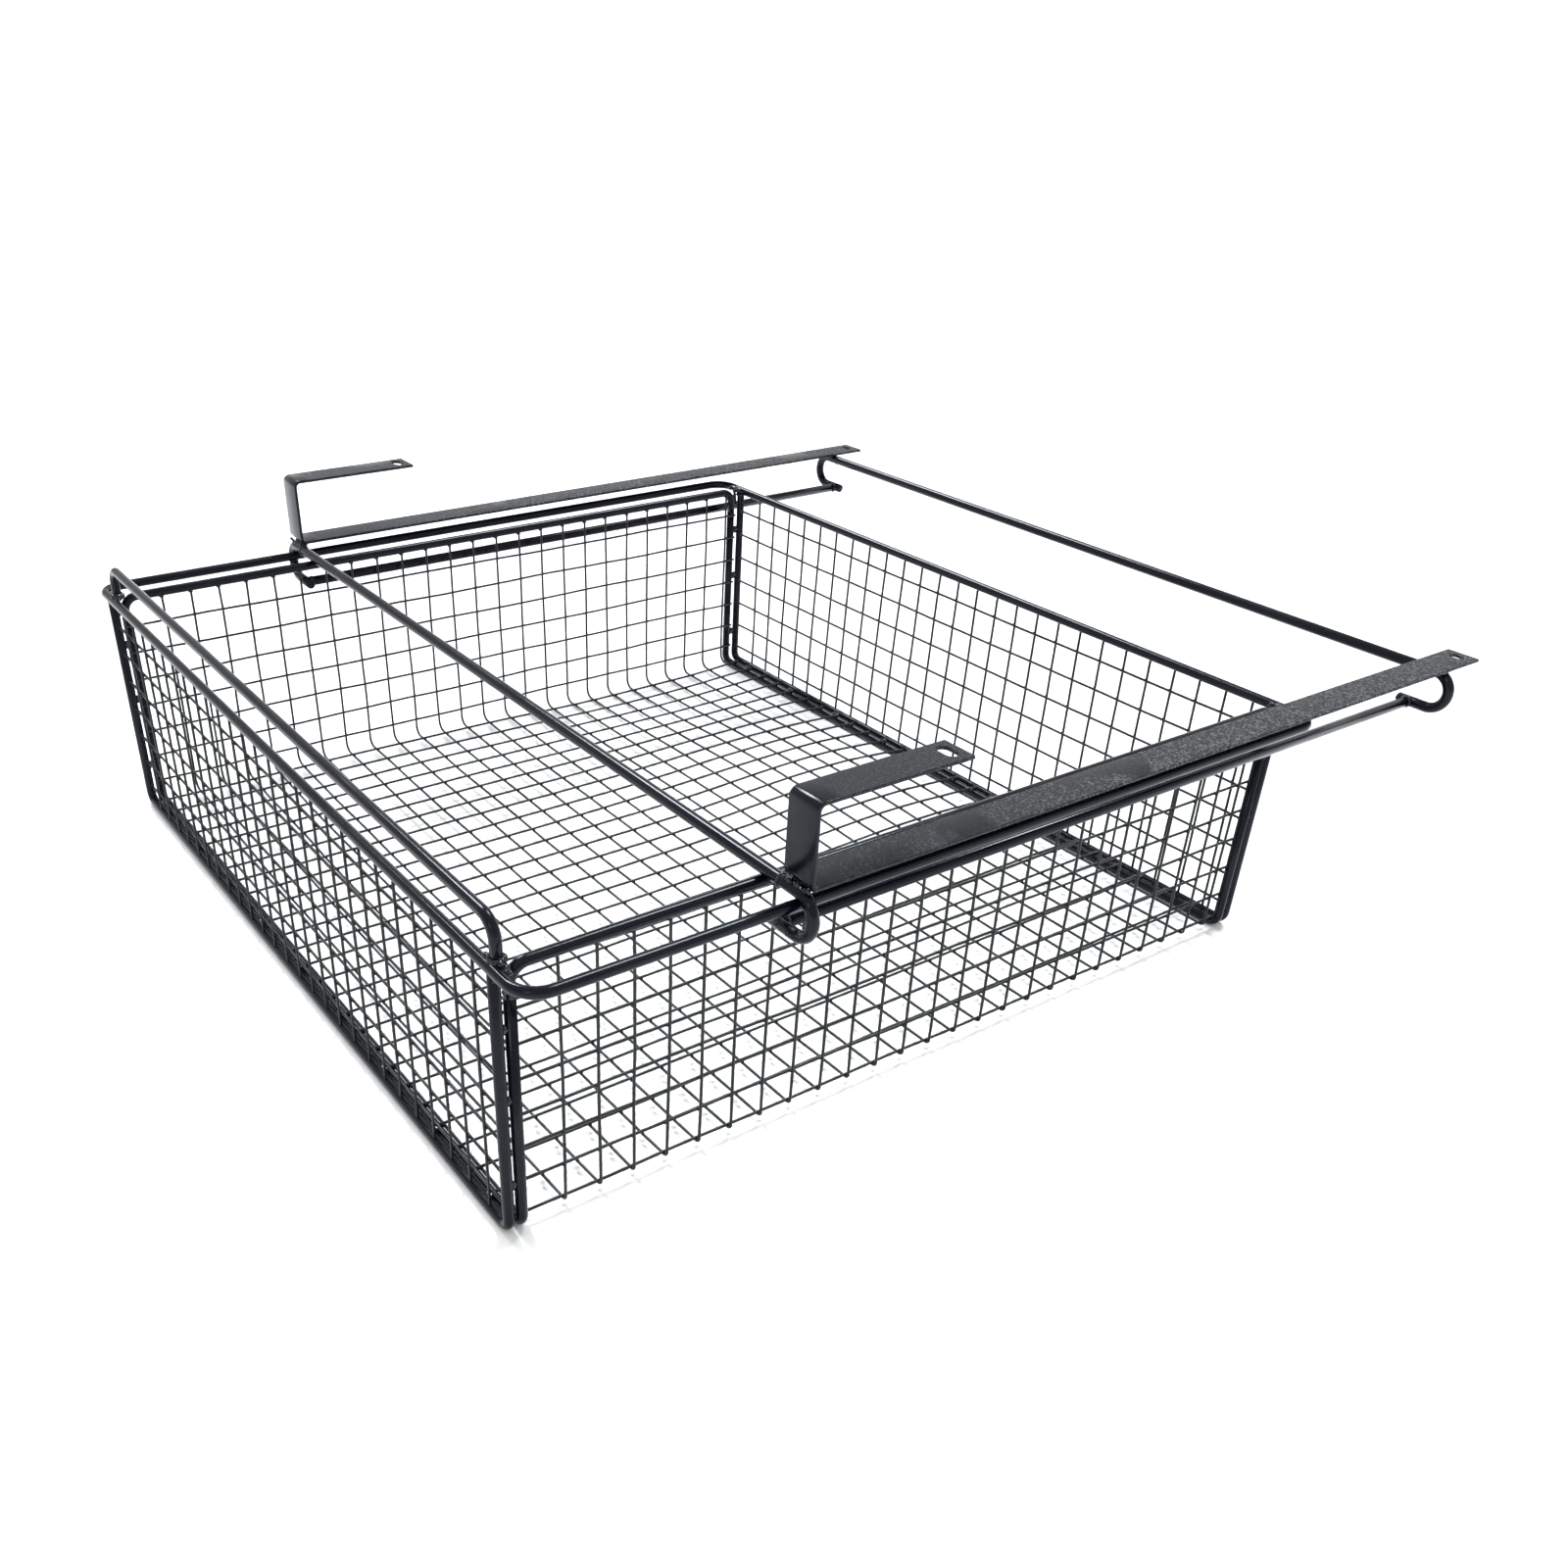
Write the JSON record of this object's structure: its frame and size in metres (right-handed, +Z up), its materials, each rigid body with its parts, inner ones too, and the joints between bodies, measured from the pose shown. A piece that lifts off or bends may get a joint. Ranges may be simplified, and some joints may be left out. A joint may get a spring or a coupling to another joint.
{
  "type": "cable tray",
  "caption": "Pull-out wire-mesh basket with a raised handle bar, hung on rods from two flat brackets that hook over the front edge of a shelf or desk.",
  "frame": {"origin": "centre of the whole object's footprint with the basket part pulled out, at the underside of the basket's bottom bars", "axes": "+Z up; +Y from the handle side to the rear; +X to the right of a person who faces the handle side"},
  "size_m": [0.47, 0.5084, 0.156],
  "materials": {
    "rod": "glossy black powder coat",
    "mesh_wire": "satin black powder coat",
    "strap": "fine-textured charcoal powder coat"
  },
  "bodies": {
    "hanger": {"cross_rod_front": "rod", "cross_rod_rear": "rod", "ledge_rod_left": "rod", "ledge_rod_right": "rod", "strap_left": "strap", "strap_right": "strap", "weld_front_left": "rod", "weld_front_right": "rod", "weld_rear_left": "rod", "weld_rear_right": "rod"},
    "basket": {"front_panel_hoop": "rod", "front_sheet_hoop": "rod", "rear_sheet_hoop": "rod", "rear_panel_hoop": "rod", "side_rim_left": "rod", "side_rim_right": "rod", "guide_ring": "rod", "handle_loop": "rod", "mesh_floor": "mesh_wire", "mesh_wall_left": "mesh_wire", "mesh_wall_right": "mesh_wire", "mesh_front_panel": "mesh_wire", "mesh_rear_panel": "mesh_wire"}
  },
  "joints": [
    {"name": "basket_slide", "type": "slide", "parent": "hanger", "child": "basket", "axis": [0, -1, 0], "range_m": [-0.1, 0.255]}
  ]
}
